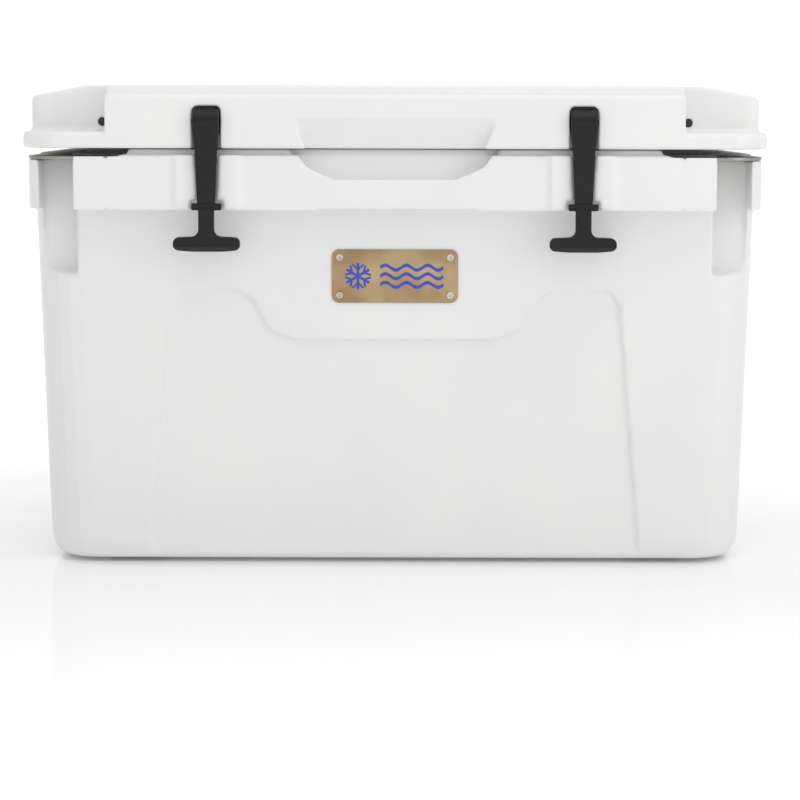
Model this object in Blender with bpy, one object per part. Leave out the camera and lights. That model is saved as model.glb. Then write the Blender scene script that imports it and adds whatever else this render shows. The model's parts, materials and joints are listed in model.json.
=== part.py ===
"""Cooler chest: a rotomoulded, foam-insulated tub and lid with two rubber T-latches.

Metres, +Z up, origin on the ground under the middle of the chest, front towards -Y. Each object is one
physical piece. A piece that turns has its origin on the axis that it turns about.
"""

from math import cos, pi, radians, sin

import bmesh
import bpy
from mathutils import Matrix, Vector

MM = 0.001
GAP = 0.3 * MM            # between pieces that touch
ARC = 6                   # segments in a quarter turn of a moulded corner

# Driving dimensions
WIDTH = 706 * MM          # over the lid's flange
RIM_TOP = 393.8 * MM
RIM_BOTTOM = 342.0 * MM
LID_BOTTOM = 399.6 * MM
LAND_TOP = 398.8 * MM     # a low step on the rim that nearly closes the gap below the lid
FLANGE_TOP = 415.2 * MM
BLOCK_TOP = 451.2 * MM    # the lid's front block
DECK_TOP = 458.2 * MM     # the raised deck behind it
GROUND_GAP = 3.4 * MM     # feet below the tub
RIM_FRONT = -206.0 * MM
LID_FRONT = -210.0 * MM
REAR = 200.0 * MM
SKIN = 4.0 * MM           # wall of the moulding
LATCH_X = 175.5 * MM
BLOCK_HALF = 270.0 * MM   # half width of the front block
DECK_FRONT = -155.0 * MM  # set-back front of the deck beside the block
DECK_HALF = 348.0 * MM
PIVOT = (-206.0 * MM, 424.7 * MM)      # latch axis, Y and Z
HINGE_X = 190.0 * MM
HINGE = (207.0 * MM, 396.7 * MM)       # lid axis, Y and Z
KNUCKLE_R = 11.5 * MM
CAVITY = (285 * MM, -140 * MM, 145 * MM)   # half width, front, rear
CAVITY_FLOOR = 60 * MM
DRAIN_Z = 74 * MM
DRAIN_AT = 322 * MM       # floor of the drain's pocket, along +X

COLOURS = {
    "shell": ((0.86, 0.86, 0.85), 0.35, 0.0),
    "foam": ((0.80, 0.70, 0.45), 0.9, 0.0),
    "rubber": ((0.022, 0.018, 0.018), 0.6, 0.0),
    "steel": ((0.42, 0.40, 0.38), 0.35, 1.0),
    "badge": ((0.37, 0.27, 0.17), 0.4, 1.0),
    "plug": ((0.03, 0.03, 0.03), 0.5, 0.0),
    "drain": ((0.05, 0.05, 0.05), 0.5, 0.0),
}

for old in list(bpy.data.objects):
    bpy.data.objects.remove(old, do_unlink=True)


# ---------------------------------------------------------------- modelling helpers

def material(slot):
    """The Principled material of a slot, made on first use."""
    if slot in bpy.data.materials:
        return bpy.data.materials[slot]
    made = bpy.data.materials.new(slot)
    made.use_nodes = True
    colour, roughness, metallic = COLOURS[slot]
    principled = made.node_tree.nodes["Principled BSDF"]
    principled.inputs["Base Color"].default_value = (*colour, 1)
    principled.inputs["Roughness"].default_value = roughness
    principled.inputs["Metallic"].default_value = metallic
    return made


def loops_to_mesh(loops):
    """A closed mesh through equally long closed loops, capped at both ends, facing out."""
    work = bmesh.new()
    rings = [[work.verts.new(point) for point in loop] for loop in loops]
    count = len(rings[0])
    for lower, upper in zip(rings, rings[1:]):
        for i in range(count):
            j = (i + 1) % count
            work.faces.new((lower[i], lower[j], upper[j], upper[i]))
    work.faces.new(list(reversed(rings[0])))
    work.faces.new(rings[-1])
    bmesh.ops.recalc_face_normals(work, faces=work.faces)
    mesh = bpy.data.meshes.new("solid")
    work.to_mesh(mesh)
    work.free()
    return mesh


def rounded(half_x, front, rear, radius, z, segments=ARC):
    """A rounded rectangle at height z, centred in X."""
    corners = (
        (half_x - radius, rear - radius, 0),
        (-half_x + radius, rear - radius, 90),
        (-half_x + radius, front + radius, 180),
        (half_x - radius, front + radius, 270),
    )
    loop = []
    for x, y, start in corners:
        for i in range(segments + 1):
            a = radians(start + 90 * i / segments)
            loop.append((x + radius * cos(a), y + radius * sin(a), z))
    return loop


def solid(name, mesh, slot="shell"):
    """A named object with its material, in the scene."""
    made = bpy.data.objects.new(name, mesh)
    bpy.context.collection.objects.link(made)
    made.data.materials.clear()
    made.data.materials.append(material(slot))
    return made


def prism(name, outline, low, high, axis="Z", slot="shell"):
    """An outline of (u, v) points extruded from low to high along an axis.

    Along Z the outline is (x, y), along Y it is (x, z) and along X it is (y, z).
    """
    place = {
        "Z": lambda u, v, w: (u, v, w),
        "Y": lambda u, v, w: (u, w, v),
        "X": lambda u, v, w: (w, u, v),
    }[axis]
    loops = [[place(u, v, w) for u, v in outline] for w in (low, high)]
    return solid(name, loops_to_mesh(loops), slot)


def box(name, x, y, z, slot="shell"):
    return prism(name, [(x[0], y[0]), (x[1], y[0]), (x[1], y[1]), (x[0], y[1])], z[0], z[1], "Z", slot)


def round_bar(name, centre, radii, stations, axis="X", segments=20, slot="steel"):
    """A turned piece: radii at stations along an axis, about a centre (u, v) across it."""
    order = {"X": lambda u, v, w: (w, u, v), "Y": lambda u, v, w: (u, w, v), "Z": lambda u, v, w: (u, v, w)}
    loops = []
    for radius, station in zip(radii, stations):
        turn = [2 * pi * i / segments for i in range(segments)]
        ring = [(centre[0] + radius * cos(a), centre[1] + radius * sin(a)) for a in turn]
        loops.append([order[axis](u, v, station) for u, v in ring])
    return solid(name, loops_to_mesh(loops), slot)


def combine(target, tool, operation):
    """Apply an exact Boolean, and remove the tool."""
    step = target.modifiers.new("boolean", "BOOLEAN")
    step.operation = operation
    step.object = tool
    step.solver = "EXACT"
    bpy.context.view_layer.update()
    graph = bpy.context.evaluated_depsgraph_get()
    mesh = bpy.data.meshes.new_from_object(target.evaluated_get(graph))
    target.modifiers.clear()
    target.data = mesh
    bpy.data.objects.remove(tool, do_unlink=True)
    return target


def cut(target, *tools):
    for tool in tools:
        combine(target, tool, "DIFFERENCE")
    return target


def join(target, *tools):
    for tool in tools:
        combine(target, tool, "UNION")
    return target


def arc_points(centre, radius, start, end, segments):
    """Points on an arc, angles in degrees."""
    points = []
    for i in range(segments + 1):
        a = radians(start + (end - start) * i / segments)
        points.append((centre[0] + radius * cos(a), centre[1] + radius * sin(a)))
    return points


def fillet(points, radii, segments=4):
    """A closed outline with each corner rounded by its radius."""
    out = []
    count = len(points)
    for i, (point, radius) in enumerate(zip(points, radii)):
        here = Vector(point)
        before = (Vector(points[i - 1]) - here).normalized()
        after = (Vector(points[(i + 1) % count]) - here).normalized()
        if radius == 0:
            out.append(tuple(here))
            continue
        half = before.angle(after) / 2
        reach = radius / abs(sin(half)) * cos(half)
        start, end = here + before * reach, here + after * reach
        centre = here + (before + after).normalized() * radius / sin(half)
        for j in range(segments + 1):
            t = j / segments
            way = (start - centre).lerp(end - centre, t)
            out.append(tuple(centre + way.normalized() * radius))
    return out


def centre_origin(piece, point):
    """Put a piece's origin at a point without moving its surface."""
    piece.data.transform(Matrix.Translation(-Vector(point)))
    piece.location = point
    return piece


# ---------------------------------------------------------------- tub

WALL_LOW_Z, WALL_HIGH_Z = 32 * MM, RIM_BOTTOM
WALL_LOW = (336.5 * MM, -173 * MM, 181 * MM)     # half width, front and rear at the foot of the walls
WALL_HIGH = (345.5 * MM, -182 * MM, 191 * MM)    # the same under the rim
WALL_R = 46 * MM
FOOT_R = 12 * MM                               # rounding where the walls meet the bottom


def wall_at(z):
    """Half width, front and rear of the drafted walls at a height."""
    t = (z - WALL_LOW_Z) / (WALL_HIGH_Z - WALL_LOW_Z)
    return [low + (high - low) * t for low, high in zip(WALL_LOW, WALL_HIGH)]


def tub_block(name, inset, bottom, top):
    """The tub's outer form, inset all round, between two heights."""
    loops = []
    for i in range(ARC + 1):
        a = radians(90 * i / ARC)
        pull = FOOT_R * (1 - sin(a)) + inset
        z = bottom + (WALL_LOW_Z - GROUND_GAP) * (1 - cos(a))
        half, front, rear = wall_at(WALL_LOW_Z)
        radius = max(WALL_R - pull * 0.6, 8 * MM)
        loops.append(rounded(half - pull, front + pull, rear - pull, radius, z))
    half, front, rear = wall_at(top)
    loops.append(rounded(half - inset, front + inset, rear - inset, WALL_R - inset, top))
    return solid(name, loops_to_mesh(loops))


def cavity_block(name, grow, top):
    """The food compartment, with a rounded floor, grown all round."""
    half, front, rear = CAVITY
    floor_r = 24 * MM
    loops = []
    for i in range(ARC + 1):
        a = radians(90 * i / ARC)
        pull = floor_r * (1 - sin(a)) - grow
        z = CAVITY_FLOOR - grow + floor_r * (1 - cos(a))
        loops.append(rounded(half - pull, front + pull, rear - pull, 40 * MM - pull * 0.6, z))
    loops.append(rounded(half + grow, front - grow, rear + grow, 40 * MM + grow, top))
    return solid(name, loops_to_mesh(loops))


def channel_block(name, side, grow):
    """A corner tie-down channel: a vertical groove with a sloping, rounded shelf at its foot."""
    inner, outer, floor, shelf = 301 * MM, 335 * MM, -158 * MM, 285.5 * MM
    profile = [(-240 * MM, shelf - 26 * MM), (floor + grow, shelf - grow),
               (floor + grow, 430 * MM), (-240 * MM, 430 * MM)]
    profile = fillet(profile, [0, 12 * MM, 0, 0])
    low, high = sorted((side * (inner - grow), side * (outer + grow)))
    return prism(name, profile, low, high, "X")


SCOOP_HALF = 62 * MM


def scoop_block(name, side, grow):
    """A hand scoop in the end wall, rising behind the rim to make a lip to lift by."""
    floor, lip = 319 * MM, 341 * MM
    top, bottom = 380 * MM, 276 * MM
    profile = [(lip, top), (lip, RIM_BOTTOM - 6 * MM), (365 * MM, RIM_BOTTOM - 6 * MM), (365 * MM, bottom - 12 * MM),
               (floor - grow, bottom + 26 * MM), (floor - grow, top)]
    if grow:
        profile = [(floor - grow, top + grow), (365 * MM, top + grow), (365 * MM, bottom - 20 * MM),
                   (floor - grow, bottom + 18 * MM)]
    outline = [(side * x, z) for x, z in profile]
    return prism(name, outline, -SCOOP_HALF - grow, SCOOP_HALF + grow, "Y")


def drain_block(name, grow):
    """The drain's pocket, low in the right end wall."""
    outline = fillet(
        [(-34 * MM - grow, 46 * MM - grow), (34 * MM + grow, 46 * MM - grow),
         (34 * MM + grow, 106 * MM + grow), (-34 * MM - grow, 106 * MM + grow)],
        [12 * MM] * 4,
    )
    return prism(name, outline, DRAIN_AT - grow, 365 * MM, "X")


def front_recess_block(name, grow):
    """The finger recess in the front of the rim."""
    top = RIM_TOP + 10 * MM
    outline = fillet(
        [(-57 * MM - grow, 371 * MM - grow), (57 * MM + grow, 371 * MM - grow), (84 * MM + grow, 383 * MM),
         (96 * MM + grow, top), (-96 * MM - grow, top), (-84 * MM - grow, 383 * MM)],
        [8 * MM, 8 * MM, 14 * MM, 0, 0, 14 * MM],
    )
    return prism(name, outline, -225 * MM, RIM_FRONT + 20 * MM + grow, "Y")


def relief_block(name):
    """The shallow panel of the front: flat across the top, dipping under the badge."""
    depth = 4 * MM
    right = [(0, 218 * MM), (95 * MM, 218 * MM), (119 * MM, 227 * MM), (134 * MM, 256 * MM), (150 * MM, 266 * MM),
             (203 * MM, 266 * MM), (214 * MM, 252 * MM), (237 * MM, 2 * MM)]
    half = fillet(right, [0, 26 * MM, 14 * MM, 14 * MM, 18 * MM, 9 * MM, 9 * MM, 0])[1:]
    outline = half + [(-x, z) for x, z in reversed(half)]
    loops = []
    for offset in (-40 * MM, depth):
        loops.append([(x, wall_at(z)[1] + offset, z) for x, z in outline])
    return solid(name, loops_to_mesh(loops))


def rim_block(name, inset, low, high):
    return solid(name, loops_to_mesh([
        rounded(348.5 * MM - inset, RIM_FRONT + inset, REAR - inset, 45 * MM - inset, z) for z in (low, high)
    ]))


def keeper_pads(shell):
    """Raised pads on the rim that the latches hook below, with a slot for the strap and notches for its ears."""
    proud = 3.5 * MM
    for side in (-1, 1):
        middle = side * LATCH_X
        outline = [(middle - 30.5 * MM, RIM_BOTTOM), (middle + 30.5 * MM, RIM_BOTTOM),
                   (middle + 30.5 * MM, RIM_TOP), (middle - 30.5 * MM, RIM_TOP)]
        pad = prism("pad", outline, RIM_FRONT - proud, RIM_FRONT + 3 * MM, "Y")
        wide, narrow, notch = 11.4 * MM, 9 * MM, 15.4 * MM
        step = 351.7 * MM
        slot = [(middle - notch, RIM_BOTTOM - 5 * MM), (middle + notch, RIM_BOTTOM - 5 * MM), (middle + notch, step),
                (middle + narrow, step), (middle + wide, RIM_TOP + 5 * MM), (middle - wide, RIM_TOP + 5 * MM),
                (middle - narrow, step), (middle - notch, step)]
        join(shell, pad)
        cut(shell, prism("slot", slot, RIM_FRONT - 20 * MM, RIM_FRONT + 2.5 * MM, "Y"))


def body_void(name, gap):
    """The space between the tub's two walls, shrunk by a gap to give the foam in it."""
    void = tub_block(name, SKIN + gap, GROUND_GAP + 8.5 * MM + gap, 376 * MM - gap)
    grow = SKIN + gap
    cut(void, cavity_block("grown", grow, 400 * MM))
    for side in (-1, 1):
        cut(void, channel_block("grown", side, grow), scoop_block("grown", side, grow))
    cut(void, drain_block("grown", grow), front_recess_block("grown", grow))
    return void


def keep_largest(piece):
    """Drop small crumbs that a cut has left beside the main body."""
    work = bmesh.new()
    work.from_mesh(piece.data)
    work.verts.ensure_lookup_table()
    seen, groups = set(), []
    for start in work.verts:
        if start in seen:
            continue
        group, stack = [], [start]
        seen.add(start)
        while stack:
            vert = stack.pop()
            group.append(vert)
            for edge in vert.link_edges:
                other = edge.other_vert(vert)
                if other not in seen:
                    seen.add(other)
                    stack.append(other)
        groups.append(group)
    groups.sort(key=len)
    for group in groups[:-1]:
        bmesh.ops.delete(work, geom=group, context="VERTS")
    work.to_mesh(piece.data)
    work.free()
    return piece


END_X, FRONT_Y, CORNER_Y, REAR_Y = 270 * MM, -120 * MM, -145 * MM, 125 * MM
GRIP_HALF = 75 * MM
FAR = 0.5


def split(shell, prefix, rows, grip):
    """Store a moulding as plain slabs a hair's gap apart, so that each one is simple and open."""
    half = GAP / 2
    for label, (x, y, z) in rows.items():
        slab = solid(f"{prefix}_{label}", shell.data.copy())
        if label == "front":
            cut(slab, box("grip", (-GRIP_HALF - half, GRIP_HALF + half), (-FAR, 0), grip))
        combine(slab, box("slab", x, y, z), "INTERSECT")
        keep_largest(slab)
    bpy.data.objects.remove(shell, do_unlink=True)


def split_tub(shell):
    half = GAP / 2
    inner_x, middle_y = (-END_X + half, END_X - half), (FRONT_Y + half, REAR_Y - half)
    rows = {"bottom": (inner_x, middle_y, (0, 30 * MM)),
            "floor": (inner_x, middle_y, (30 * MM, FAR)),
            "front": (inner_x, (-FAR, FRONT_Y - half), (0, FAR)),
            "grip": ((-GRIP_HALF + half, GRIP_HALF - half), (-FAR, FRONT_Y - half), (RIM_BOTTOM + half, FAR)),
            "rear": (inner_x, (REAR_Y + half, FAR), (0, FAR))}
    for label, side in (("left", -1), ("right", 1)):
        outer_x = sorted((side * (END_X + half), side * FAR))
        rows[f"end_{label}"] = (outer_x, (CORNER_Y + half, FAR), (0, FAR))
        rows[f"corner_{label}"] = (outer_x, (-FAR, CORNER_Y - half), (0, FAR))
    split(shell, "body_shell", rows, (RIM_BOTTOM - half, FAR))


FILL_AT = (0, 150 * MM)       # the foam's filling hole in the bottom
FILL_R = 11 * MM
FEET = [(x * 250 * MM, y) for y in (-128 * MM, 137 * MM) for x in (-1, 1)]
FOOT_HALF = (25 * MM, 14 * MM)
KNUCKLES = ((-50 * MM, -18 * MM), (18 * MM, 50 * MM))    # the tub's, either side of the lid's
LID_KNUCKLE = (-17.4 * MM, 17.4 * MM)
PIN_R = 4 * MM
LATCH_PIN_R = 2.5 * MM


def knuckle_outline(side):
    """A hinge knuckle in the YZ plane: a round eye with a web back to the wall, up (lid) or down (tub)."""
    y, z = HINGE
    web = [(y - 13 * MM, z + side * 26 * MM), (y - 6 * MM, z + side * 26 * MM)]
    eye = arc_points(HINGE, KNUCKLE_R, 28 * side, -180 * side, 14)
    return web + eye + [(y - 13 * MM, z)]


def hinge_relief(name, middle, low, high):
    """Room for the other half's knuckle to turn in."""
    return round_bar(name, HINGE, (KNUCKLE_R + 1.2 * MM,) * 2, (middle + low, middle + high), "X", 24)


def tub():
    shell = tub_block("moulding", 0, GROUND_GAP, RIM_TOP - 20 * MM)
    join(shell, rim_block("rim", 0, RIM_BOTTOM, RIM_TOP))
    keeper_pads(shell)
    for low, high, front in ((-250, -98, -198), (98, 250, -198), (-98.5, 98.5, -184)):
        profile = [(front * MM, RIM_TOP - 2 * MM), (-172 * MM, RIM_TOP - 2 * MM),
                   (-172 * MM, LAND_TOP), (front * MM, LAND_TOP)]
        join(shell, prism("land", fillet(profile, [0, 0, 2 * MM, 2 * MM], 3), low * MM, high * MM, "X"))
    cut(shell, cavity_block("cavity", 0, 430 * MM))
    for side in (-1, 1):
        cut(shell, channel_block("channel", side, 0), scoop_block("scoop", side, 0))
    cut(shell, drain_block("drain", 0), front_recess_block("recess", 0), relief_block("relief"))
    for side in (-1, 1):
        cut(shell, prism("seat", plate_outline(side, 0.6 * MM, [3 * MM, 3 * MM, 3 * MM, 5 * MM, 12 * MM, 5 * MM]),
                         388.7 * MM, 408 * MM, "Z"))
        middle = side * HINGE_X
        for low, high in KNUCKLES:
            join(shell, prism("knuckle", knuckle_outline(-1), middle + low, middle + high, "X"))
        cut(shell, hinge_relief("relief", middle, LID_KNUCKLE[0] - 0.6 * MM, LID_KNUCKLE[1] + 0.6 * MM))
        cut(shell, round_bar("bore", HINGE, (PIN_R + GAP,) * 2, (middle - 60 * MM, middle + 60 * MM), "X", 16))
    for x, y in FEET:
        cut(shell, box("pocket", (x - FOOT_HALF[0] - GAP, x + FOOT_HALF[0] + GAP),
                       (y - FOOT_HALF[1] - GAP, y + FOOT_HALF[1] + GAP), (-5 * MM, GROUND_GAP + 3.5 * MM)))
    cut(shell, body_void("void", 0))
    cut(shell, round_bar("fill", FILL_AT, (FILL_R,) * 2, (-1 * MM, 20 * MM), "Z", 20))
    cut(shell, round_bar("drain_bore", (0, DRAIN_Z), (10.5 * MM,) * 2, (270 * MM, 340 * MM), "X", 20))
    for side in (-1, 1):
        for x, y in plate_screws(side):
            cut(shell, round_bar("hole", (x, y), (2 * MM,) * 2, (380.7 * MM, 398 * MM), "Z", 12))
    for x, z in RIVETS:
        face = wall_at(z)[1]
        cut(shell, round_bar("hole", (x, z), (1.6 * MM,) * 2, (face - 4 * MM, face + 3.2 * MM), "Y", 10))
    split_tub(keep_largest(shell))


# ---------------------------------------------------------------- fittings of the tub

PLATE_TOP, PLATE_BOTTOM = 392.0 * MM, 389.0 * MM
PADLOCK = (318 * MM, -176 * MM)
BADGE_HALF = 59.8 * MM
RIVETS = [(x * 52.4 * MM, z) for x in (-1, 1) for z in (260.7 * MM, 296.7 * MM)]


def plate_screws(side):
    return [(side * 270 * MM, -183 * MM), (side * 329 * MM, -117 * MM)]


def plate_outline(side, grow, radii):
    """The L-shaped plate round a front corner, clear of the gasket's seat."""
    corners = ((258.5, -204.5), (348, -204.5), (348, -106), (310, -106), (310, -162), (258.5, -162))
    ways = ((-1, -1), (1, -1), (1, 1), (-1, 1), (-1, 1), (-1, 1))
    points = [(side * (x * MM + dx * grow), y * MM + dy * grow) for (x, y), (dx, dy) in zip(corners, ways)]
    return fillet(points, radii, 6)


def lock_plate(name, side):
    """A stainless plate over the corner channel, with a padlock hole."""
    outline = plate_outline(side, 0, [6 * MM, 42 * MM, 6 * MM, 6 * MM, 12 * MM, 6 * MM])
    plate = prism(name, outline, PLATE_BOTTOM, PLATE_TOP, "Z", "steel")
    cut(plate, round_bar("hole", (side * PADLOCK[0], PADLOCK[1]), (6 * MM,) * 2, (378 * MM, 403 * MM), "Z", 20))
    for x, y in plate_screws(side):
        cut(plate, round_bar("hole", (x, y), (2.3 * MM, 2.3 * MM, 4.4 * MM, 4.4 * MM),
                             (378 * MM, 389.8 * MM, PLATE_TOP, 398 * MM), "Z", 16))
    return plate


def plate_screw(name, x, y):
    return round_bar(name, (x, y), (1.7 * MM, 1.7 * MM, 2.0 * MM, 4.0 * MM),
                     (381.2 * MM, 389.2 * MM, 390.0 * MM, PLATE_TOP - 0.1 * MM), "Z", 16)


def badge():
    """The badge plate, lying on the drafted front wall."""
    outline = fillet(
        [(-BADGE_HALF, 253.3 * MM), (BADGE_HALF, 253.3 * MM), (BADGE_HALF, 304.1 * MM), (-BADGE_HALF, 304.1 * MM)],
        [7 * MM] * 4, 5,
    )
    loops = [[(x, wall_at(z)[1] + offset, z) for x, z in outline] for offset in (-1.5 * MM, -GAP)]
    plate = solid("badge_plate", loops_to_mesh(loops), "badge")
    for x, z in RIVETS:
        cut(plate, round_bar("hole", (x, z), (1.6 * MM,) * 2, (-190 * MM, -170 * MM), "Y", 12))


def badge_rivet(name, x, z):
    face = wall_at(z)[1] - 1.5 * MM - GAP
    return round_bar(name, (x, z), (1.3 * MM, 1.3 * MM, 3.3 * MM, 3.3 * MM, 2.4 * MM, 1.2 * MM),
                     (face + 4.4 * MM, face, face, face - 0.4 * MM, face - 1.2 * MM, face - 1.5 * MM), "Y", 16)


def foot(name, x, y):
    loops = []
    for inset, z in ((1.5 * MM, 0), (0, 1.5 * MM), (0, GROUND_GAP + 3.2 * MM)):
        loop = rounded(FOOT_HALF[0] - inset, -FOOT_HALF[1] + inset, FOOT_HALF[1] - inset, 5 * MM, z, 3)
        loops.append([(px + x, py + y, pz) for px, py, pz in loop])
    return solid(name, loops_to_mesh(loops), "rubber")


def tube(name, centre, outer, inner, stations, axis, slot, segments=24):
    """A turned ring: outer radii at stations, with a plain bore."""
    ring = round_bar(name, centre, outer, stations, axis, segments, slot)
    low, high = min(stations) - 5 * MM, max(stations) + 5 * MM
    return cut(ring, round_bar("bore", centre, (inner,) * 2, (low, high), axis, segments))


def drain():
    at = (0, DRAIN_Z)
    flange = DRAIN_AT + 2.3 * MM
    tube("drain_gasket", at, (18 * MM,) * 2, 10.6 * MM, (DRAIN_AT + GAP, flange - GAP), "X", "rubber")
    tube("drain_fitting", at, (10 * MM, 10 * MM, 18 * MM, 18 * MM), 7.4 * MM,
         (284 * MM, flange, flange, flange + 3 * MM), "X", "drain")
    stopper = round_bar("drain_stopper", at, (5.5 * MM, 6.8 * MM, 6.8 * MM, 4 * MM, 4 * MM),
                        (286 * MM, 289 * MM, flange + 2 * MM, flange + 2 * MM, flange + 9.5 * MM), "X", 20, "rubber")
    centre_origin(stopper, (flange, 0, DRAIN_Z))
    knob = []
    for x, depth in ((flange + 3.4 * MM, 0), (flange + 11 * MM, 0), (flange + 12.5 * MM, 1.5 * MM)):
        ring = []
        for i in range(48):
            a = 2 * pi * i / 48
            radius = 15 * MM - depth + 0.8 * MM * cos(12 * a)
            ring.append((x, radius * cos(a), DRAIN_Z + radius * sin(a)))
        knob.append(ring)
    cap = solid("drain_cap", loops_to_mesh(knob), "drain")
    cut(cap, round_bar("socket", at, (4 * MM + GAP,) * 2, (flange, flange + 10 * MM), "X", 20))
    centre_origin(cap, (flange, 0, DRAIN_Z))


def hinge_pin(name, side):
    middle = side * HINGE_X
    pin = round_bar(name, HINGE, (PIN_R - 0.8 * MM, PIN_R, PIN_R, PIN_R - 0.8 * MM),
                    (middle - 49 * MM, middle - 48 * MM, middle + 48 * MM, middle + 49 * MM), "X", 16)
    return centre_origin(pin, (middle, *HINGE))


# ---------------------------------------------------------------- lid

def lid_profile(inset):
    """Cross-section of the raised deck seen from the front: level, then falling to rounded ends."""
    right = [(DECK_HALF, 408 * MM), (DECK_HALF, 448 * MM), (295 * MM, DECK_TOP)]
    points = [(x - inset, z - (inset if z > 0.44 else 0)) for x, z in right]
    points = fillet(points + [(-x, z) for x, z in reversed(points)],
                    [0, 7 * MM, 60 * MM, 60 * MM, 7 * MM, 0], 5)
    return points


def deck_plan(inset):
    """The deck's outline seen from above, as a tall block: tighter corners in front than behind."""
    half, front, rear = DECK_HALF + 0.5 * MM - inset, DECK_FRONT + inset, REAR - 3 * MM - inset
    blocks = []
    for radius, low, high in ((13 * MM, front, rear + 90 * MM), (44 * MM, front - 90 * MM, rear)):
        blocks.append(solid("plan", loops_to_mesh([
            rounded(half, low, high, radius - inset, z) for z in (398 * MM, 468 * MM)
        ])))
    return combine(blocks[0], blocks[1], "INTERSECT")


def lid_void(name, gap):
    """The space inside the lid's double wall, shrunk by a gap to give the foam in it."""
    inset = SKIN + gap
    void = prism(name, lid_profile(inset), DECK_FRONT + inset, REAR - 16 * MM - gap, "Y")
    combine(void, deck_plan(inset), "INTERSECT")
    cut(void, box("floor", (-0.4, 0.4), (-0.3, 0.3), (0.3, 406.7 * MM + gap)))
    half, front, rear = CAVITY
    ridge = [rounded(half - 5 * MM - inset, front + 5 * MM + inset, rear - 5 * MM - inset, 30 * MM, z)
             for z in (384 * MM + inset, 418 * MM)]
    join(void, solid("ridge", loops_to_mesh(ridge)))
    middle = [(-146 * MM + gap, LID_FRONT + SKIN + 12 * MM + gap), (146 * MM - gap, LID_FRONT + SKIN + 12 * MM + gap),
              (146 * MM - gap, -140 * MM), (-146 * MM + gap, -140 * MM)]
    join(void, prism("middle", middle, 406.7 * MM + gap, BLOCK_TOP - inset, "Z"))
    return void


LID_PLUG = (279.5 * MM, 424 * MM, 4.5 * MM)


def finger_relief():
    """A wedge under the lid's front edge for the fingers: deepest at the bottom."""
    loops = []
    for z, half, deep in ((388 * MM, 78 * MM, 19 * MM), (428 * MM, 95 * MM, 0.2 * MM)):
        front = LID_FRONT - 10 * MM
        loops.append([(-half, front, z), (half, front, z), (half, LID_FRONT + deep, z), (-half, LID_FRONT + deep, z)])
    return solid("relief", loops_to_mesh(loops))


def gasket_ring(name, low, high, grow, slot="rubber"):
    """A rounded rectangular ring round the mouth of the tub."""
    half, front, rear = CAVITY
    inner, outer = 6.5 * MM - grow, 16.5 * MM + grow
    rings = []
    for out in (inner, outer):
        rings.append(loops_to_mesh([
            rounded(half + out, front - out, rear + out, 40 * MM + out, z)
            for z in ((low, high) if out == outer else (low - 5 * MM, high + 5 * MM))
        ]))
    ring = solid(name, rings[1], slot)
    return cut(ring, solid("bore", rings[0]))


def latch_pocket(side):
    """A pocket in the lid's front for a latch's hub, with flared corners at its mouth."""
    middle, half = side * LATCH_X, 13 * MM
    top, low = 438.9 * MM, 388 * MM
    outline = fillet([(middle - half, low), (middle + half, low), (middle + half, top), (middle - half, top)],
                     [0, 0, 2.5 * MM, 2.5 * MM], 3)
    return prism("latch_pocket", outline, LID_FRONT - 10 * MM, -190 * MM, "Y")


LID_CUT_Y = -157 * MM     # just in front of the deck
LID_CUT_X = 273 * MM      # just outside the front block
LID_GRIP_TOP = 425 * MM


def split_lid(shell):
    half = GAP / 2
    inner_x, front_y = (-LID_CUT_X + half, LID_CUT_X - half), (-FAR, LID_CUT_Y - half)
    rows = {"deck": ((-FAR, FAR), (LID_CUT_Y + half, FAR), (0, FAR)),
            "front": (inner_x, front_y, (0, FAR)),
            "grip": ((-GRIP_HALF + half, GRIP_HALF - half), front_y, (0, LID_GRIP_TOP - half)),
            "corner_left": ((-FAR, -LID_CUT_X - half), front_y, (0, FAR)),
            "corner_right": ((LID_CUT_X + half, FAR), front_y, (0, FAR))}
    split(shell, "lid_shell", rows, (0, LID_GRIP_TOP + half))
    for label in rows:
        centre_origin(bpy.data.objects[f"lid_shell_{label}"], (0, *HINGE))


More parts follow.
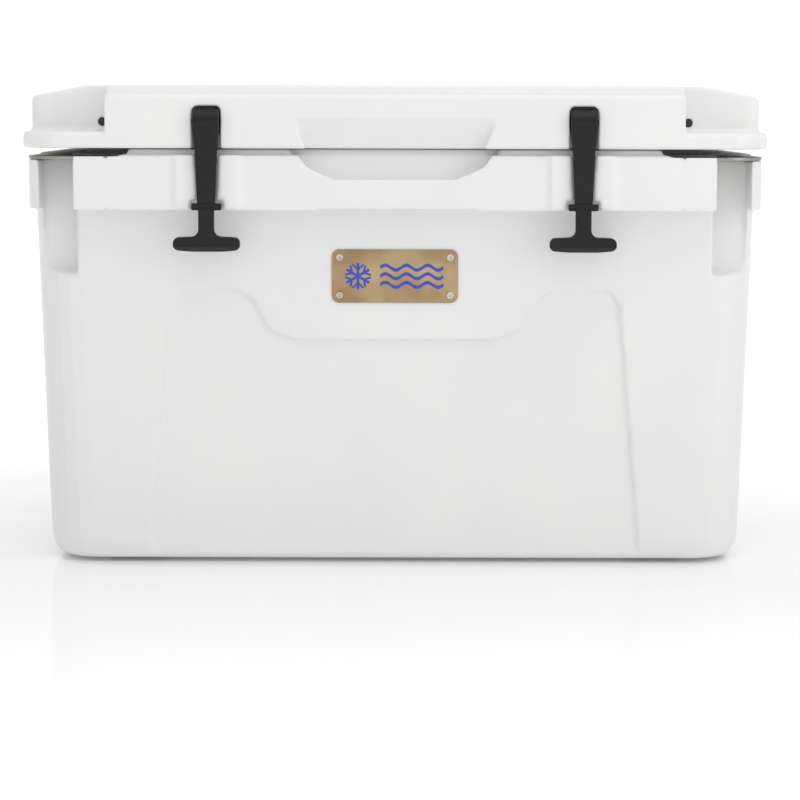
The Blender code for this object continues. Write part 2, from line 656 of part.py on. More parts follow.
def lid():
    half_width = WIDTH / 2
    flange = [rounded(half_width - inset, LID_FRONT + inset, REAR - inset, 46 * MM - inset, z)
              for inset, z in ((1.5 * MM, LID_BOTTOM), (0, LID_BOTTOM + 1.5 * MM), (0, FLANGE_TOP - 4 * MM),
                               (1.2 * MM, FLANGE_TOP - 1.2 * MM), (4 * MM, FLANGE_TOP))]
    shell = solid("moulding", loops_to_mesh(flange))
    deck = prism("deck", lid_profile(0), DECK_FRONT, REAR - 3 * MM, "Y")
    combine(deck, deck_plan(0), "INTERSECT")
    join(shell, deck)
    front = fillet([(LID_FRONT, 404 * MM), (-140 * MM, 404 * MM), (-140 * MM, BLOCK_TOP), (LID_FRONT, BLOCK_TOP)],
                   [0, 0, 0, 6 * MM])
    join(shell, prism("block", front, -BLOCK_HALF, BLOCK_HALF, "X"))
    riser = fillet([(LID_FRONT + 12 * MM, 438 * MM), (-140 * MM, 438 * MM), (-140 * MM, DECK_TOP),
                    (LID_FRONT + 12 * MM, DECK_TOP)], [0, 0, 0, 1.5 * MM], 2)
    join(shell, prism("riser", riser, -BLOCK_HALF, BLOCK_HALF, "X"))
    half, y_front, y_rear = CAVITY
    ridge = [rounded(half - inset, y_front + inset, y_rear - inset, 35 * MM, z)
             for inset, z in ((9 * MM, 384 * MM), (5 * MM, 388 * MM), (5 * MM, 403 * MM))]
    join(shell, solid("ridge", loops_to_mesh(ridge)))
    cut(shell, gasket_ring("groove", 393 * MM, 403.7 * MM, GAP, "shell"), finger_relief())
    for side in (-1, 1):
        cut(shell, latch_pocket(side))
        cut(shell, round_bar("hole", (side * PADLOCK[0], PADLOCK[1]), (6.5 * MM,) * 2, (388 * MM, 428 * MM), "Z", 20))
        cut(shell, round_bar("bore", PIVOT, (LATCH_PIN_R + GAP,) * 2,
                             (side * LATCH_X - 22.5 * MM, side * LATCH_X + 22.5 * MM), "X", 16))
        middle = side * HINGE_X
        join(shell, prism("knuckle", knuckle_outline(1), middle + LID_KNUCKLE[0], middle + LID_KNUCKLE[1], "X"))
        for low, high in KNUCKLES:
            cut(shell, hinge_relief("relief", middle, low - 0.6 * MM, high + 0.6 * MM))
        cut(shell, round_bar("bore", HINGE, (PIN_R + GAP,) * 2, (middle - 60 * MM, middle + 60 * MM), "X", 16))
    cut(shell, lid_void("void", 0))
    for side in (-1, 1):
        x, z, radius = LID_PLUG
        cut(shell, round_bar("fill", (side * x, z), (radius,) * 2, (-160 * MM, -148 * MM), "Y", 20))
    split_lid(keep_largest(shell))


def lid_plug(name, side):
    x, z, radius = LID_PLUG
    plug = round_bar(name, (side * x, z), (radius - GAP, radius - GAP, radius - 0.9 * MM),
                     (-152 * MM, -155.2 * MM, -155.8 * MM), "Y", 20, "plug")
    return centre_origin(plug, (0, *HINGE))


def latch_pin(name, side):
    middle = side * LATCH_X
    radius = LATCH_PIN_R
    pin = round_bar(name, PIVOT, (radius - 0.5 * MM, radius, radius, radius - 0.5 * MM),
                    (middle - 21.8 * MM, middle - 21 * MM, middle + 21 * MM, middle + 21.8 * MM), "X", 16)
    return centre_origin(pin, (0, *HINGE))


# ---------------------------------------------------------------- latches

def latch(name, side):
    """A T-latch: hub on its pin, tapering strap, ears, neck and T-handle."""
    middle = side * LATCH_X
    hub_r = 12.5 * MM
    face = PIVOT[0] - hub_r
    strap = round_bar(name, PIVOT, (hub_r,) * 2, (middle - 12.3 * MM, middle + 12.3 * MM), "X", 24, "rubber")
    neck = [(-7.5, 313), (7.5, 313), (7.5, 342), (14, 342), (14.6, 349), (7.8, 349.5), (11.4, 412), (11.6, 426),
            (-11.6, 426), (-11.4, 412), (-7.8, 349.5), (-14.6, 349), (-14, 342), (-7.5, 342)]
    outline = [(middle + x * MM, z * MM) for x, z in neck]
    join(strap, prism("strap", outline, face, face + 7.5 * MM, "Y", "rubber"))
    handle = fillet([(-30.8, 304.5), (-14, 303.5), (14, 303.5), (30.8, 304.5), (30.8, 318), (-30.8, 318)],
                    [6, 40, 40, 6, 6.5, 6.5], 4)
    outline = [(middle + x * MM, z * MM) for x, z in handle]
    join(strap, prism("handle", outline, face, face + 12 * MM, "Y", "rubber"))
    cut(strap, round_bar("bore", PIVOT, (LATCH_PIN_R + GAP,) * 2, (middle - 20 * MM, middle + 20 * MM), "X", 16))
    return centre_origin(strap, (middle, *PIVOT))


# ---------------------------------------------------------------- assembly

tub()
foam = body_void("body_foam", GAP)
cut(foam, round_bar("room", FILL_AT, (FILL_R + GAP,) * 2, (0, 18.5 * MM), "Z", 20),
    round_bar("room", (0, DRAIN_Z), (14.5 * MM,) * 2, (270 * MM, 345 * MM), "X", 20))
foam.data.materials[0] = material("foam")
keep_largest(foam)
round_bar("body_fill_plug", FILL_AT, (FILL_R - GAP,) * 2, (GROUND_GAP + 0.6 * MM, 17.5 * MM), "Z", 20, "plug")
for label, side in (("left", -1), ("right", 1)):
    lock_plate(f"lock_plate_{label}", side)
    for number, (x, y) in enumerate(plate_screws(side), 1):
        plate_screw(f"lock_plate_screw_{label}_{number}", x, y)
    hinge_pin(f"hinge_pin_{label}", side)
    latch_pin(f"latch_pin_{label}", side)
    lid_plug(f"lid_fill_plug_{label}", side)
    latch(f"latch_{label}", side)
badge()
for number, (x, z) in enumerate(RIVETS, 1):
    badge_rivet(f"badge_rivet_{number}", x, z)
for number, (x, y) in enumerate(FEET, 1):
    foot(f"foot_{number}", x, y)
drain()
lid()
lid_foam = lid_void("lid_foam", GAP)
lid_foam.data.materials[0] = material("foam")
for side in (-1, 1):
    cut(lid_foam, round_bar("room", (side * LID_PLUG[0], LID_PLUG[1]), (5 * MM,) * 2, (-160 * MM, -146 * MM), "Y", 16))
centre_origin(keep_largest(lid_foam), (0, *HINGE))
centre_origin(gasket_ring("lid_gasket", RIM_TOP + GAP, 403.4 * MM, 0), (0, *HINGE))
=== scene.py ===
# %% [markdown]
# # A rotomoulded cooler chest
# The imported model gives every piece's place and size. This script gives them their looks: soft moulded
# edges, rubber, brushed metal, and a plain studio. Everything is in metres, front towards -Y, +Z up.

# %% Load the frame
import json
import math

import bpy
from mathutils import Matrix, Vector

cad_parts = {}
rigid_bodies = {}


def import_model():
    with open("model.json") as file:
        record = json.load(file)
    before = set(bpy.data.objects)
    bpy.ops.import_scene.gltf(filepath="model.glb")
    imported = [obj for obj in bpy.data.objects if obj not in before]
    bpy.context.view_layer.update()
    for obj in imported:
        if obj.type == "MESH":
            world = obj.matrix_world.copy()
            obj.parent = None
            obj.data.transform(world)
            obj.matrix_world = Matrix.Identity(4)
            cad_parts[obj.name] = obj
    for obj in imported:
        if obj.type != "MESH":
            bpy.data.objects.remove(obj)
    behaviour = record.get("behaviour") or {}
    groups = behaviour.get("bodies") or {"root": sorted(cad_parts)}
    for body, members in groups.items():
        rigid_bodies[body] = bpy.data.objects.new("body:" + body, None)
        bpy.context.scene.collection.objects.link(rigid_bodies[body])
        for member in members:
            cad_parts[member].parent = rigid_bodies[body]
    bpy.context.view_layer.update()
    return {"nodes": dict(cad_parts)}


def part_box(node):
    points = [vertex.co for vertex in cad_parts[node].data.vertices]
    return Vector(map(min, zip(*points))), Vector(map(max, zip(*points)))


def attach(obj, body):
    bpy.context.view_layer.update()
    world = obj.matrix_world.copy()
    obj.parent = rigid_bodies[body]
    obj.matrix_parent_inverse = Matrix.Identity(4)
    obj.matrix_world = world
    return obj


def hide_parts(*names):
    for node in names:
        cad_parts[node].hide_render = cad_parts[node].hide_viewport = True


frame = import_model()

MM = 0.001

# %% [markdown]
# ## Camera
# The chest is seen from straight in front, from about the height of its lid, with a long lens, so its
# upright edges stay nearly upright. The photo doesn't settle the distance; 2.0 m is a choice.

# %% Camera
LENS_MM = 96.6
RIM_FRONT_Y = -0.210
AWAY = 2.0                 # from the front of the rim to the lens
ASIDE, HEIGHT = 0.0092, 0.4404
PITCH_DOWN, ROLL = math.radians(5.32), math.radians(-0.15)
camera_data = bpy.data.cameras.new("camera")
camera_data.lens = LENS_MM
camera_data.sensor_width = 36
camera_data.shift_y = -0.119
camera_data.shift_x = -0.0063
camera = bpy.data.objects.new("camera", camera_data)
bpy.context.collection.objects.link(camera)
camera.location = (ASIDE, RIM_FRONT_Y - AWAY, HEIGHT)
camera.rotation_euler = (math.pi / 2 - PITCH_DOWN, ROLL, 0)
bpy.context.scene.camera = camera

# %% [markdown]
# ## Colours and node helpers
# Colours are written as sRGB hex, as a paint chart gives them, and turned to the linear values that the
# renderer works in. One helper adds a node, sets its values and links its inputs.

# %% Helpers for materials


def linear(hex_colour):
    """Linear RGBA from an sRGB hex colour such as 'E8E8E6'."""
    channels = [int(hex_colour[i:i + 2], 16) / 255 for i in (0, 2, 4)]
    return (*[c / 12.92 if c <= 0.04045 else ((c + 0.055) / 1.055) ** 2.4 for c in channels], 1)


def add_node(tree, kind, settings=None, **links):
    """Add a node; settings go on its properties or sockets, links join another node's socket to an input."""
    node = tree.nodes.new(kind)
    for name, value in (settings or {}).items():
        if name in node.inputs:
            node.inputs[name].default_value = value
        else:
            setattr(node, name, value)
    for name, socket in links.items():
        tree.links.new(socket, node.inputs[name.replace("_", " ")])
    return node


def new_finish(name, **shader_settings):
    """A material with a Principled shader and its object coordinates."""
    finish = bpy.data.materials.new(name)
    finish.use_nodes = True
    shader = finish.node_tree.nodes["Principled BSDF"]
    for key, value in shader_settings.items():
        shader.inputs[key.replace("_", " ")].default_value = value
    place = finish.node_tree.nodes.new("ShaderNodeTexCoord").outputs["Object"]
    return finish, finish.node_tree, shader, place


def colour_ramp(tree, factor, low, high, start=0.0, stop=1.0):
    """A two-stop ramp between two colours, driven by a factor."""
    ramp = add_node(tree, "ShaderNodeValToRGB", Fac=factor)
    for element, position, colour in zip(ramp.color_ramp.elements, (start, stop), (low, high)):
        element.position = position
        element.color = colour
    return ramp.outputs["Color"]


# %% [markdown]
# ## White rotomoulded polyethylene
# Powder melts against the inside of a turning steel mould, so the surface copies the mould: a satin gloss
# over a very shallow orange peel, about 9 mm across, and a finer grain of about 1.6 mm.

# %% White polyethylene


def rotomoulded_polyethylene():
    finish, tree, shader, place = new_finish(
        "rotomoulded_white_polyethylene", Roughness=0.36, IOR=1.51, Coat_Weight=0.0,
    )
    peel = add_node(tree, "ShaderNodeTexNoise", {"Scale": 1 / (9 * MM), "Detail": 2.0}, Vector=place)
    grain = add_node(tree, "ShaderNodeTexNoise", {"Scale": 1 / (1.6 * MM), "Detail": 3.0}, Vector=place)
    cloud = add_node(tree, "ShaderNodeTexNoise", {"Scale": 1 / (120 * MM), "Detail": 3.0}, Vector=place)
    tint = colour_ramp(tree, cloud.outputs["Fac"], linear("E6E6E6"), linear("E9E9E8"), 0.35, 0.65)
    tree.links.new(tint, shader.inputs["Base Color"])
    sheen = add_node(tree, "ShaderNodeMapRange", {"To Min": 0.30, "To Max": 0.42}, Value=grain.outputs["Fac"])
    tree.links.new(sheen.outputs["Result"], shader.inputs["Roughness"])
    first = add_node(tree, "ShaderNodeBump", {"Strength": 0.25, "Distance": 0.25 * MM},
                     Height=peel.outputs["Fac"])
    second = add_node(tree, "ShaderNodeBump", {"Strength": 0.25, "Distance": 0.06 * MM},
                      Height=grain.outputs["Fac"], Normal=first.outputs["Normal"])
    tree.links.new(second.outputs["Normal"], shader.inputs["Normal"])
    return finish


WHITE_PE = rotomoulded_polyethylene()

# %% [markdown]
# ## Black moulded rubber
# The latches, feet and seals are moulded from a warm, near-black rubber: satin, with a fine spark-eroded
# grain and slightly greyer where it is handled.

# %% Rubber


def moulded_rubber(name, colour, worn, roughness):
    finish, tree, shader, place = new_finish(name, IOR=1.52)
    grain = add_node(tree, "ShaderNodeTexNoise", {"Scale": 1 / (0.9 * MM), "Detail": 2.0}, Vector=place)
    bloom = add_node(tree, "ShaderNodeTexNoise", {"Scale": 1 / (22 * MM), "Detail": 4.0}, Vector=place)
    tint = colour_ramp(tree, bloom.outputs["Fac"], linear(colour), linear(worn), 0.4, 0.75)
    tree.links.new(tint, shader.inputs["Base Color"])
    sheen = add_node(tree, "ShaderNodeMapRange", {"To Min": roughness - 0.06, "To Max": roughness + 0.08},
                     Value=bloom.outputs["Fac"])
    tree.links.new(sheen.outputs["Result"], shader.inputs["Roughness"])
    bump = add_node(tree, "ShaderNodeBump", {"Strength": 0.3, "Distance": 0.08 * MM},
                    Height=grain.outputs["Fac"])
    tree.links.new(bump.outputs["Normal"], shader.inputs["Normal"])
    return finish


LATCH_RUBBER = moulded_rubber("moulded_latch_rubber", "141112", "1B1718", 0.44)
LATCH_RUBBER.node_tree.nodes["Principled BSDF"].inputs["Specular IOR Level"].default_value = 0.28
# The seal's grey is partly its own colour and partly painted light: it is lightened so that the shaded gap
# between the lid and the tub reads grey.
SEAL_RUBBER_AND_PAINTED_GAP_LIGHT = moulded_rubber("extruded_grey_seal_rubber_and_painted_gap_light", "9A9A98", "A6A6A4", 0.6)
STOPPER_RUBBER = moulded_rubber("moulded_stopper_rubber", "2A2A2A", "343434", 0.6)
FOOT_RUBBER = moulded_rubber("moulded_foot_rubber", "1E1E1E", "2B2A29", 0.65)

# %% [markdown]
# ## Metals
# Brushed metal has fine scratches that all run one way, about a fifth of a millimetre apart. They are a
# noise stretched along the brushing, drawn twice as coarse as the real ones so that they show.

# %% Metals


def brushed_metal(name, dark, light, roughness, along=0, scratch=0.4 * MM):
    """Metal brushed along an axis (0 is X), tinted from dark to light in long streaks."""
    finish, tree, shader, place = new_finish(name, Metallic=1.0)
    stretch = [1 / scratch] * 3
    stretch[along] = 1 / (60 * scratch)
    lie = add_node(tree, "ShaderNodeMapping", {"Scale": stretch}, Vector=place)
    streak = add_node(tree, "ShaderNodeTexNoise", {"Scale": 1.0, "Detail": 4.0}, Vector=lie.outputs["Vector"])
    cloud = add_node(tree, "ShaderNodeTexNoise", {"Scale": 1 / (35 * MM), "Detail": 2.0}, Vector=place)
    tint = colour_ramp(tree, cloud.outputs["Fac"], linear(dark), linear(light), 0.35, 0.65)
    tree.links.new(tint, shader.inputs["Base Color"])
    sheen = add_node(tree, "ShaderNodeMapRange", {"To Min": roughness - 0.08, "To Max": roughness + 0.1},
                     Value=streak.outputs["Fac"])
    tree.links.new(sheen.outputs["Result"], shader.inputs["Roughness"])
    bump = add_node(tree, "ShaderNodeBump", {"Strength": 0.12, "Distance": 0.05 * MM},
                    Height=streak.outputs["Fac"])
    tree.links.new(bump.outputs["Normal"], shader.inputs["Normal"])
    return finish


STAINLESS = brushed_metal("brushed_stainless_steel", "8E8A86", "A19D98", 0.34)
BRONZE_PLATE = brushed_metal("brushed_bronze_anodised_aluminium", "9C8363", "B09A78", 0.36)
RIVET_METAL = brushed_metal("tumbled_aluminium_rivet", "B9B2A8", "CDC8C0", 0.28)
PIN_STEEL = brushed_metal("ground_stainless_pin", "A9A7A4", "BDBBB8", 0.25)
BLACK_PIN = brushed_metal("black_oxide_steel_pin", "1C1B1B", "262524", 0.4)


def moulded_dark_plastic(name, colour, roughness):
    finish, tree, shader, place = new_finish(name, IOR=1.5)
    grain = add_node(tree, "ShaderNodeTexNoise", {"Scale": 1 / (0.8 * MM), "Detail": 2.0}, Vector=place)
    tint = colour_ramp(tree, grain.outputs["Fac"], linear(colour), linear("303030"), 0.3, 0.9)
    tree.links.new(tint, shader.inputs["Base Color"])
    shader.inputs["Roughness"].default_value = roughness
    bump = add_node(tree, "ShaderNodeBump", {"Strength": 0.25, "Distance": 0.06 * MM},
                    Height=grain.outputs["Fac"])
    tree.links.new(bump.outputs["Normal"], shader.inputs["Normal"])
    return finish


DRAIN_PLASTIC = moulded_dark_plastic("moulded_black_nylon", "1B1B1C", 0.45)
PLUG_PLASTIC = moulded_dark_plastic("moulded_black_cap_plastic", "161616", 0.5)


def poured_foam():
    finish, tree, shader, place = new_finish("poured_polyurethane_foam", Roughness=0.9)
    cells = add_node(tree, "ShaderNodeTexVoronoi", {"Scale": 1 / (1.5 * MM)}, Vector=place)
    tint = colour_ramp(tree, cells.outputs["Distance"], linear("C9B26F"), linear("E3D3A0"))
    tree.links.new(tint, shader.inputs["Base Color"])
    return finish


FOAM = poured_foam()

# %% [markdown]
# ## Modelling helpers

# %% Modelling helpers


def select_only(*objects):
    """Leave just these objects selected, the last one active."""
    for other in bpy.context.view_layer.objects:
        other.select_set(False)
    for each in objects:
        each.select_set(True)
        bpy.context.view_layer.objects.active = each


def apply_modifier(piece, kind, **settings):
    """Add one modifier with its settings and apply it."""
    select_only(piece)
    step = piece.modifiers.new(kind.lower(), kind)
    for key, value in settings.items():
        setattr(step, key, value)
    bpy.ops.object.modifier_apply(modifier=step.name)


def settle(piece):
    """Put a piece's place into its mesh, so that its object sits at the origin."""
    select_only(piece)
    bpy.ops.object.transform_apply(location=True, rotation=True, scale=True)


def copy_of(node, name):
    """A copy of a CAD node's mesh, with its loose triangles merged."""
    source = frame["nodes"][node]
    piece = bpy.data.objects.new(name, source.data.copy())
    bpy.context.collection.objects.link(piece)
    piece.data.materials.clear()
    piece.data.transform(source.matrix_world)
    select_only(piece)
    bpy.ops.object.mode_set(mode="EDIT")
    bpy.ops.mesh.select_all(action="SELECT")
    bpy.ops.mesh.remove_doubles(threshold=0.01 * MM)
    bpy.ops.object.mode_set(mode="OBJECT")
    return piece


def stopper(centre, radius, length, axis):
    """A plain cylinder that stops a hole before a remesh."""
    turn = {"X": (0, math.pi / 2, 0), "Y": (math.pi / 2, 0, 0), "Z": (0, 0, 0)}[axis]
    select_only()
    bpy.ops.mesh.primitive_cylinder_add(
        vertices=32, radius=radius, depth=length, location=centre, rotation=turn,
    )
    settle(bpy.context.object)
    return bpy.context.object


def keep_outer_skin(piece):
    """Separate loose parts and keep the largest one."""
    select_only(piece)
    bpy.ops.mesh.separate(type="LOOSE")
    parts = sorted(bpy.context.selected_objects, key=lambda o: len(o.data.vertices))
    for crumb in parts[:-1]:
        bpy.data.objects.remove(crumb, do_unlink=True)
    return parts[-1]


def soften(piece, voxel, passes, most_triangles):
    """Remesh a solid evenly, relax its edges into moulded radii, and thin it to a triangle count."""
    apply_modifier(piece, "REMESH", mode="VOXEL", voxel_size=voxel)
    name = piece.name
    piece = keep_outer_skin(piece)
    piece.name = name
    apply_modifier(piece, "SMOOTH", factor=0.5, iterations=passes)
    triangles = 2 * len(piece.data.polygons)
    if triangles > most_triangles:
        apply_modifier(piece, "DECIMATE", ratio=most_triangles / triangles)
    select_only(piece)
    bpy.ops.object.shade_smooth()
    print(piece.name, triangles, "->", sum(len(p.vertices) - 2 for p in piece.data.polygons), "triangles")
    return piece


def finish_piece(piece, finish, body, slot, *nodes):
    """Give a piece its material, its body and the CAD nodes that it stands for; the slot argument is not
    used.
    """
    piece.data.materials.clear()
    piece.data.materials.append(finish)
    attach(piece, body)
    if nodes:
        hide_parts(*nodes)


# %% [markdown]
# ## The tub and the lid
# A rotomoulded shell has no sharp edge anywhere. Each CAD solid is copied, its foam-filling holes are
# stopped, and the copy is remeshed evenly and relaxed, which turns every edge into a soft radius.

# %% Tub

VOXEL = 2.0 * MM
MOULD_PASSES = 3
MOST_TRIANGLES = 195_000
FILL_STOP_Z = 9 * MM              # middle of the stopper in the tub's filling hole
DRAIN_STOP_X = 285 * MM           # where the drain's stopper starts, inside the compartment's wall
PLUG_STOP_Y = -151.5 * MM         # middle of the stoppers behind the lid's plugs
PIN_STOP_REACH = 18.6 * MM        # from a latch's middle to the stoppers of its pin's bore
TUB_NODES = [node for node in frame["nodes"] if node.startswith("body_shell")]


def centre_of(node):
    low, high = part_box(node)
    return (Vector(low) + Vector(high)) / 2


def mould(name, nodes, stops, body):
    """One soft moulding from the CAD nodes of a double-walled shell, its holes stopped."""
    parts = [copy_of(node, f"{name}_part") for node in nodes]
    select_only(*stops, *parts)
    bpy.ops.object.join()
    piece = bpy.context.object
    piece.name = name
    piece = soften(piece, VOXEL, MOULD_PASSES, MOST_TRIANGLES)
    finish_piece(piece, WHITE_PE, body, "shell", *nodes)


fill, drain = centre_of("body_fill_plug"), centre_of("drain_gasket")
drain_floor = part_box("drain_gasket")[0][0]
mould("tub_moulding", TUB_NODES, [
    stopper((fill.x, fill.y, FILL_STOP_Z), 12.5 * MM, 10 * MM, "Z"),
    stopper(((drain_floor + DRAIN_STOP_X) / 2, drain.y, drain.z), 12 * MM, drain_floor - DRAIN_STOP_X, "X"),
], "tub")

# %% Lid

lid_stops = []
for side in ("left", "right"):
    plug, pin = centre_of(f"lid_fill_plug_{side}"), centre_of(f"latch_pin_{side}")
    lid_stops.append(stopper((plug.x, PLUG_STOP_Y, plug.z), 5.5 * MM, 6 * MM, "Y"))
    for reach in (-PIN_STOP_REACH, PIN_STOP_REACH):
        lid_stops.append(stopper((pin.x + reach, pin.y, pin.z), 3.2 * MM, 8 * MM, "X"))
LID_NODES = [node for node in frame["nodes"] if node.startswith("lid_shell")]
mould("lid_moulding", LID_NODES, lid_stops, "lid")

# %% [markdown]
# ## The T-latches
# Each latch is one rubber moulding: a barrel on its pin, a tapering strap set back below it, two ears that
# lie over the keeper pads, and a neck that flares into the T-handle. The parts are drawn one by one, then
# remeshed together so that they blend like a moulding.

# %% Flat-sided pieces


def arc_corners(points, radii, steps=5):
    """An outline whose corners are rounded, each by its own radius."""
    outline = []
    for i, (point, radius) in enumerate(zip(points, radii)):
        here = Vector(point)
        if not radius:
            outline.append(here)
            continue
        before = (Vector(points[i - 1]) - here).normalized()
        after = (Vector(points[(i + 1) % len(points)]) - here).normalized()
        half = before.angle(after) / 2
        start, stop = here + before * (radius / math.tan(half)), here + after * (radius / math.tan(half))
        centre = here + (before + after).normalized() * (radius / math.sin(half))
        for step in range(steps + 1):
            spoke = (start - centre).lerp(stop - centre, step / steps)
            outline.append(centre + spoke.normalized() * radius)
    return outline


def sheet(name, outline, front, back):
    """An outline in X and Z, extruded along Y from front to back. All in millimetres."""
    select_only()
    bpy.ops.mesh.primitive_circle_add(vertices=len(outline), radius=1, fill_type="NGON")
    piece = bpy.context.object
    piece.name = name
    for vert, (x, z) in zip(piece.data.vertices, outline):
        vert.co = (x * MM, front * MM, z * MM)
    bpy.ops.object.mode_set(mode="EDIT")
    bpy.ops.mesh.select_all(action="SELECT")
    bpy.ops.mesh.extrude_region_move(TRANSFORM_OT_translate={"value": (0, (back - front) * MM, 0)})
    bpy.ops.mesh.select_all(action="SELECT")
    bpy.ops.mesh.normals_make_consistent(inside=False)
    bpy.ops.object.mode_set(mode="OBJECT")
    return piece


def round_edges(piece, width, segments=3, above=30):
    apply_modifier(piece, "BEVEL", width=width, segments=segments, limit_method="ANGLE",
                   angle_limit=math.radians(above))
    return piece


def smooth_faces(piece, below=35):
    select_only(piece)
    bpy.ops.object.shade_smooth_by_angle(angle=math.radians(below))
    return piece


# %% Latches


def trim_below(piece, point, normal):
    """Cut away what lies on the normal's side of a plane, and close the cut."""
    select_only(piece)
    bpy.ops.object.mode_set(mode="EDIT")
    bpy.ops.mesh.select_all(action="SELECT")
    bpy.ops.mesh.bisect(plane_co=point, plane_no=normal, use_fill=True, clear_outer=True)
    bpy.ops.object.mode_set(mode="OBJECT")
    return piece


def latch(side):
    pin = centre_of(f"latch_pin_{side}")
    middle, top = pin.x / MM, pin.z / MM
    barrel = stopper((pin.x, pin.y, pin.z), 12.5 * MM, 24.4 * MM, "X")
    round_edges(barrel, 1.1 * MM)
    strap = [(-12.0, top), (12.0, top), (11.8, 412), (10.4, 396),
             (8.4, 349), (-8.4, 349), (-10.4, 396), (-11.8, 412)]
    ears = arc_corners([(-14.1, 342.2), (14.1, 342.2), (14.1, 348.8), (-14.1, 348.8)], [1.4] * 4)
    handle = arc_corners(
        [(-7.3, 343.5), (-7.3, 317.9), (-30.9, 316.9), (-31.2, 304.9), (-14, 303.4),
         (14, 303.4), (31.2, 304.9), (30.9, 316.9), (7.3, 317.9), (7.3, 343.5)],
        [0, 7, 5.2, 5.2, 30, 30, 5.2, 5.2, 7, 0],
    )
    neck = [(-8.2, 350.5), (-7.3, 341), (-7.3, 330), (7.3, 330), (7.3, 341), (8.2, 350.5)]
    grip = [point for point in handle if point[1] < 319]
    parts = []
    for name, outline, front, back in (("strap", strap, -216.0, -211.0), ("ears", ears, -214.4, -210.8),
                                       ("neck", neck, -215.0, -211.0), ("handle", handle, -217.6, -211.2),
                                       ("grip", grip, -217.6, -206.6)):
        parts.append(sheet(name, [(x + middle, z) for x, z in outline], front, back))
    for part in (parts[3], parts[4]):
        trim_below(part, (0, -217.6 * MM, 308.4 * MM), (0, -0.62, -0.78))
    for part in parts:
        round_edges(part, 0.7 * MM, 2, 50)
    select_only(*parts, barrel)
    bpy.ops.object.join()
    barrel.name = f"t_latch_{side}"
    piece = soften(barrel, 0.55 * MM, 3, 60_000)
    finish_piece(piece, LATCH_RUBBER, f"latch_{side}", "rubber", f"latch_{side}")


latch("left")
latch("right")

# %% [markdown]
# ## Badge
# A thin bronze-coloured plate, brushed along its length and held by four blind rivets. It carries a plain
# printed emblem: a snow crystal and three waves.

# %% Badge

badge_low, badge_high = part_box("badge_plate")
BADGE_THICK = 1.2 * MM
badge_lean = math.atan(((badge_high[1] - badge_low[1]) - BADGE_THICK) / (badge_high[2] - badge_low[2]))
badge_middle = centre_of("badge_plate")


def on_badge(piece):
    """Move a piece drawn about the origin onto the leaning face of the wall."""
    piece.rotation_euler = (badge_lean, 0, 0)
    piece.location = badge_middle
    settle(piece)


def badge_plate():
    half_x, half_z = (badge_high[0] - badge_low[0]) / 2 / MM, (badge_high[2] - badge_low[2]) / 2 / MM
    corners = [(-half_x, -half_z), (half_x, -half_z), (half_x, half_z), (-half_x, half_z)]
    piece = sheet("badge_plate_brushed", arc_corners(corners, [7] * 4, 8), -0.6, 0.6)
    round_edges(piece, 0.35 * MM, 3)
    smooth_faces(piece)
    on_badge(piece)
    finish_piece(piece, BRONZE_PLATE, "tub", "badge_metal", "badge_plate")


def printed_ink():
    finish, tree, shader, place = new_finish("screen_printed_blue_ink", IOR=1.48)
    mottle = add_node(tree, "ShaderNodeTexNoise", {"Scale": 1 / (3 * MM), "Detail": 3.0}, Vector=place)
    tint = colour_ramp(tree, mottle.outputs["Fac"], linear("2F45A8"), linear("3C52BA"), 0.3, 0.7)
    tree.links.new(tint, shader.inputs["Base Color"])
    shader.inputs["Roughness"].default_value = 0.4
    return finish


INK = printed_ink()


def emblem():
    parts = []
    for spoke in range(3):
        bars = [[(-1.3, -12.5), (1.3, -12.5), (1.3, 12.5), (-1.3, 12.5)]]
        for end in (-1, 1):
            for way in (-1, 1):
                tip, root = Vector((way * 5.2, end * 11.2)), Vector((0, end * 6.4))
                across = (tip - root).orthogonal().normalized() * 1.0
                bars.append([root - across, root + across, tip + across, tip - across])
        turn = Matrix.Rotation(math.radians(60 * spoke), 2)
        for bar in bars:
            turned = [turn @ Vector(point) + Vector((-35, 0)) for point in bar]
            parts.append(sheet("crystal", [tuple(p) for p in turned], -0.68 - 0.004 * len(parts) / 15, -0.5))
    for row in (-1, 0, 1):
        upper, lower = [], []
        for i in range(61):
            x = -14 + i * 60 / 60
            z = row * 8.2 + 2.3 * math.sin(2 * math.pi * (x + 14) / 20)
            upper.append((x, z + 1.7))
            lower.append((x, z - 1.7))
        parts.append(sheet("wave", upper + lower[::-1], -0.7, -0.5))
    select_only(*parts)
    bpy.ops.object.join()
    piece = bpy.context.object
    piece.name = "badge_emblem"
    smooth_faces(piece)
    on_badge(piece)
    finish_piece(piece, INK, "tub", "badge_metal")


def blind_rivet(number):
    """A pop rivet: a low domed head with the end of its broken stem down in the middle."""
    node = f"badge_rivet_{number}"
    low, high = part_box(node)
    middle = centre_of(node)
    head = stopper((0, 0, 0), 3.3 * MM, 1.5 * MM, "Y")
    bpy.ops.object.mode_set(mode="EDIT")
    bpy.ops.mesh.select_all(action="DESELECT")
    bpy.ops.object.mode_set(mode="OBJECT")
    for vert in head.data.vertices:          # the front cap
        vert.select = vert.co.y < 0
    bpy.ops.object.mode_set(mode="EDIT")
    bpy.ops.mesh.inset(thickness=1.3 * MM)
    bpy.ops.mesh.inset(thickness=0.7 * MM, depth=-0.2 * MM)
    bpy.ops.mesh.extrude_region_move(TRANSFORM_OT_translate={"value": (0, 1.0 * MM, 0)})
    bpy.ops.object.mode_set(mode="OBJECT")
    round_edges(head, 0.35 * MM, 3)
    smooth_faces(head)
    head.name = f"blind_rivet_{number}"
    head.rotation_euler = (badge_lean, 0, 0)
    head.location = (middle.x, low[1] + 0.75 * MM, middle.z)
    settle(head)
    finish_piece(head, RIVET_METAL, "tub", "rivet_metal", node)


badge_plate()
emblem()
for number in range(1, 5):
    blind_rivet(number)

# %% [markdown]
# ## Fittings
# The steel lock plates, the feet and the drain keep their CAD shape, with their edges eased.

# %% Fittings


